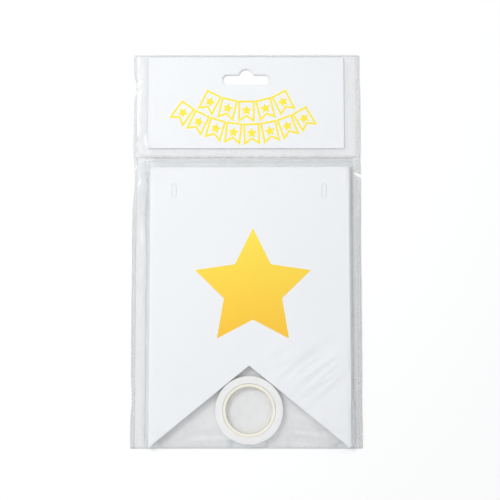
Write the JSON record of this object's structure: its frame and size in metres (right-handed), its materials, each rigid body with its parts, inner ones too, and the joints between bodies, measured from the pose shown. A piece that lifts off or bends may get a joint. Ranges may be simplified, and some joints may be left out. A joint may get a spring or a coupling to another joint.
{
  "type": "bunting hang pack",
  "caption": "Clear header bag with a euro hang slot and back closing flap, holding a header card, a stack of swallowtail card pennants with foil stars and a roll of ribbon.",
  "frame": {"origin": "on the floor under the middle of the bag, which lies face up on its back film", "axes": "+Z is the pack's thickness, up through the front film; +Y runs along the bag towards the header and its hang slot; +X is to the right as the front is looked at"},
  "size_m": [0.15, 0.2578, 0.0059],
  "materials": {
    "clear_film": "gloss",
    "fused_film": "satin",
    "glue": "gloss",
    "white_board": "matte",
    "white_ribbon": "satin",
    "core_board": "matte",
    "gold_foil": "polished",
    "yellow_print": "matte"
  },
  "bodies": {
    "bag": {"front_film": "clear_film", "pocket_back_film": "clear_film", "header_back_film": "clear_film", "left_side_seal": "fused_film", "right_lower_seal": "fused_film", "right_upper_seal": "fused_film", "header_weld": "fused_film", "top_weld": "fused_film"},
    "closure_flap": {"closure_flap": "clear_film", "glue_strip": "glue"},
    "header_card": {"header_card": "white_board"},
    "ribbon_roll": {"ribbon_core": "core_board", "ribbon_winding": "white_ribbon"},
    "pennant_01": {"pennant_01": "white_board"},
    "pennant_02": {"pennant_02": "white_board"},
    "pennant_03": {"pennant_03": "white_board"},
    "pennant_04": {"pennant_04": "white_board"},
    "pennant_05": {"pennant_05": "white_board"},
    "pennant_06": {"pennant_06": "white_board"},
    "pennant_07": {"pennant_07": "white_board"},
    "pennant_08": {"pennant_08": "white_board"},
    "pennant_09": {"pennant_09": "white_board"},
    "pennant_10": {"pennant_10": "white_board"},
    "pennant_11": {"pennant_11": "white_board"},
    "pennant_12": {"pennant_12": "white_board"},
    "pennant_13": {"pennant_13": "white_board"}
  },
  "joints": [
    {"name": "flap_hinge", "type": "hinge", "parent": "bag", "child": "closure_flap", "pos_m": [0, 0.05993, 0.0002], "axis": [1, 0, 0], "range_deg": [0, 180]},
    {"name": "header_card_slide", "type": "slide", "parent": "bag", "child": "header_card", "axis": [1, 0, 0], "range_m": [-0.0063, 0.0071]},
    {"name": "roll_spin", "type": "hinge", "parent": "bag", "child": "ribbon_roll", "pos_m": [0.0017, -0.1042, 0.00276], "axis": [0, 0, 1], "continuous": true},
    {"name": "pennant_01_slide", "type": "slide", "parent": "bag", "child": "pennant_01", "axis": [0, 1, 0], "range_m": [0, 0.0026]},
    {"name": "pennant_02_slide", "type": "slide", "parent": "bag", "child": "pennant_02", "axis": [0, 1, 0], "range_m": [0, 0.0026]},
    {"name": "pennant_03_slide", "type": "slide", "parent": "bag", "child": "pennant_03", "axis": [0, 1, 0], "range_m": [0, 0.0026]},
    {"name": "pennant_04_slide", "type": "slide", "parent": "bag", "child": "pennant_04", "axis": [0, 1, 0], "range_m": [0, 0.0026]},
    {"name": "pennant_05_slide", "type": "slide", "parent": "bag", "child": "pennant_05", "axis": [0, 1, 0], "range_m": [0, 0.0026]},
    {"name": "pennant_06_slide", "type": "slide", "parent": "bag", "child": "pennant_06", "axis": [0, 1, 0], "range_m": [0, 0.0026]},
    {"name": "pennant_07_slide", "type": "slide", "parent": "bag", "child": "pennant_07", "axis": [0, 1, 0], "range_m": [0, 0.0026]},
    {"name": "pennant_08_slide", "type": "slide", "parent": "bag", "child": "pennant_08", "axis": [0, 1, 0], "range_m": [0, 0.0026]},
    {"name": "pennant_09_slide", "type": "slide", "parent": "bag", "child": "pennant_09", "axis": [0, 1, 0], "range_m": [0, 0.0026]},
    {"name": "pennant_10_slide", "type": "slide", "parent": "bag", "child": "pennant_10", "axis": [0, 1, 0], "range_m": [0, 0.0026]},
    {"name": "pennant_11_slide", "type": "slide", "parent": "bag", "child": "pennant_11", "axis": [0, 1, 0], "range_m": [0, 0.0026]},
    {"name": "pennant_12_slide", "type": "slide", "parent": "bag", "child": "pennant_12", "axis": [0, 1, 0], "range_m": [0, 0.0026]},
    {"name": "pennant_13_slide", "type": "slide", "parent": "bag", "child": "pennant_13", "axis": [0, 1, 0], "range_m": [0, 0.0026]}
  ]
}
